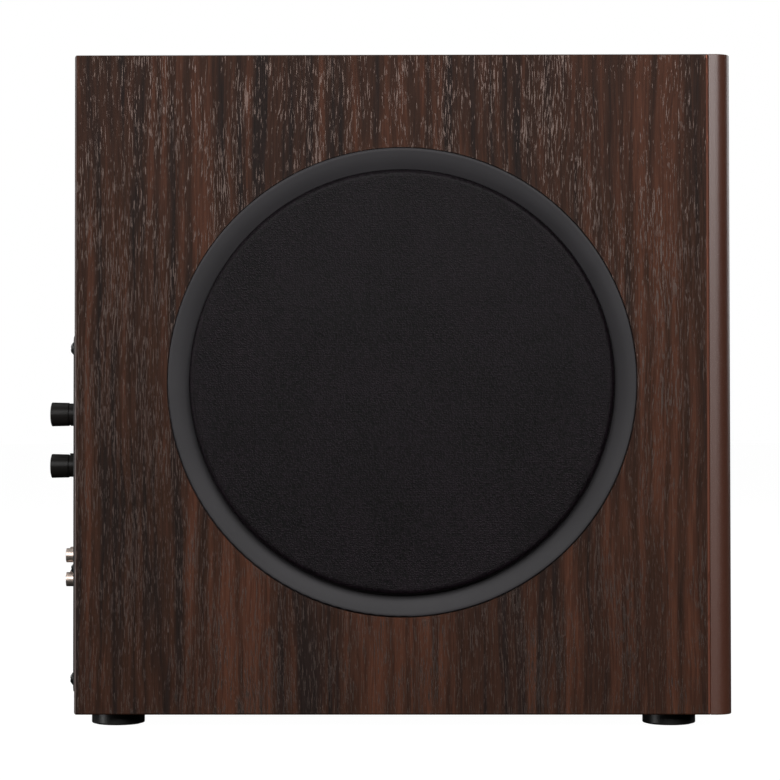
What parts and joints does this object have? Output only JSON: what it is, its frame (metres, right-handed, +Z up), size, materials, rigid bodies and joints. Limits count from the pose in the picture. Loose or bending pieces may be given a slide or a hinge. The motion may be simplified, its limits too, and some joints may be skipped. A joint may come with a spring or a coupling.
{
  "type": "powered subwoofer",
  "caption": "Side-firing powered subwoofer in a dark wood-grain box, with a round cloth grille, a front reflex port, and rotary controls and signal jacks on a rear amplifier plate.",
  "frame": {"origin": "on the floor, under the centre of the whole object's box", "axes": "+Z up, -Y the front panel with the port, +Y the amplifier plate, -X the side with the driver"},
  "size_m": [0.2454, 0.3946, 0.383],
  "materials": {
    "wood_vinyl": "matte wood-grain vinyl over board",
    "black_board": "black paper-covered board",
    "batten_wood": "raw pine",
    "wadding": "loose polyester wadding",
    "fascia_satin": "satin brown lacquer",
    "gloss_black": "gloss black plastic",
    "black_plastic": "fine-textured black plastic",
    "ring_grey": "satin dark grey plastic",
    "grille_cloth": "knitted speaker cloth",
    "lamp": "clear light pipe",
    "pad_rubber": "matte rubber",
    "zinc": "bright zinc plate",
    "black_screw": "black oxide",
    "basket_paint": "black powder coat",
    "gasket_foam": "dense foam",
    "cone_paper": "pressed pulp paper",
    "coil_kapton": "amber film",
    "copper": "enamelled copper wire",
    "spider_cloth": "resin-dipped cotton",
    "ferrite": "sintered ferrite",
    "amp_paint": "fine-textured black paint on steel",
    "gold": "gold flash",
    "jack_red": "coloured insulator",
    "circuit_green": "solder mask over glass laminate",
    "sink_alloy": "black anodised",
    "can_sleeve": "shrink sleeve on aluminium",
    "torus_tape": "amber winding tape",
    "cable_jacket": "flexible jacket"
  },
  "bodies": {
    "cabinet": {"acoustic_wadding": "wadding", "amp_gasket": "gasket_foam", "amp_plate": "amp_paint", "board_supports": "zinc", "bottom_panel": "wood_vinyl", "cable_plugs": "black_plastic", "circuit_boards": "circuit_green", "control_pots": "zinc", "corner_battens": "batten_wood", "driver_basket": "basket_paint", "driver_cable": "cable_jacket", "driver_gasket": "gasket_foam", "driver_mounting_board": "black_board", "driver_screws": "black_screw", "driver_side_panel": "wood_vinyl", "driver_spider": "spider_cloth", "driver_surround": "pad_rubber", "driver_terminals": "zinc", "filter_capacitors": "can_sleeve", "foot_caps": "gloss_black", "foot_pads": "pad_rubber", "foot_screws": "zinc", "front_baffle": "black_board", "front_fascia": "fascia_satin", "grille_sockets": "pad_rubber", "heat_sink": "sink_alloy", "jack_block": "black_plastic", "jack_inserts": "jack_red", "jack_shells": "gold", "mains_inlet": "black_plastic", "mains_inlet_pins": "zinc", "motor_magnet": "ferrite", "motor_top_plate": "zinc", "motor_yoke": "zinc", "phase_switch_case": "black_plastic", "plain_side_panel": "wood_vinyl", "port_flare": "black_plastic", "port_tube": "black_plastic", "power_lamp_lens": "lamp", "power_switch_frame": "black_plastic", "rear_panel": "black_board", "rear_screws": "black_screw", "top_panel": "wood_vinyl", "transformer": "torus_tape", "transformer_clamp": "zinc", "trim_ring": "ring_grey", "trim_ring_screws": "black_screw", "voice_coil_leads": "copper"},
    "grille": {"grille_frame": "black_plastic", "grille_cloth": "grille_cloth"},
    "cone": {"driver_cone": "cone_paper", "dust_cap": "cone_paper", "voice_coil_former": "coil_kapton", "voice_coil_winding": "copper"},
    "level_control": {"level_knob": "gloss_black", "level_shaft": "zinc"},
    "crossover_control": {"crossover_knob": "gloss_black", "crossover_shaft": "zinc"},
    "power_button": {"power_rocker": "black_plastic"},
    "phase_button": {"phase_slider": "black_plastic"}
  },
  "joints": [
    {"name": "grille_pull", "type": "slide", "parent": "cabinet", "child": "grille", "axis": [-1, 0, 0], "range_m": [0, 0.045]},
    {"name": "cone_travel", "type": "slide", "parent": "cabinet", "child": "cone", "axis": [-1, 0, 0], "range_m": [-0.006, 0.006], "stiffness_N_per_m": 2200, "deforming": ["driver_surround", "driver_spider", "voice_coil_leads"]},
    {"name": "level_knob_turn", "type": "hinge", "parent": "cabinet", "child": "level_control", "pos_m": [-0.07225, 0.1901, 0.1783], "axis": [0, -1, 0], "range_deg": [0, 300]},
    {"name": "crossover_knob_turn", "type": "hinge", "parent": "cabinet", "child": "crossover_control", "pos_m": [-0.07225, 0.1901, 0.1482], "axis": [0, -1, 0], "range_deg": [-150, 150]},
    {"name": "power_rocker_tilt", "type": "hinge", "parent": "cabinet", "child": "power_button", "pos_m": [0.06775, 0.1789, 0.112], "axis": [-1, 0, 0], "range_deg": [0, 20]},
    {"name": "phase_slide", "type": "slide", "parent": "cabinet", "child": "phase_button", "axis": [0, 0, 1], "range_m": [0, 0.003]}
  ]
}
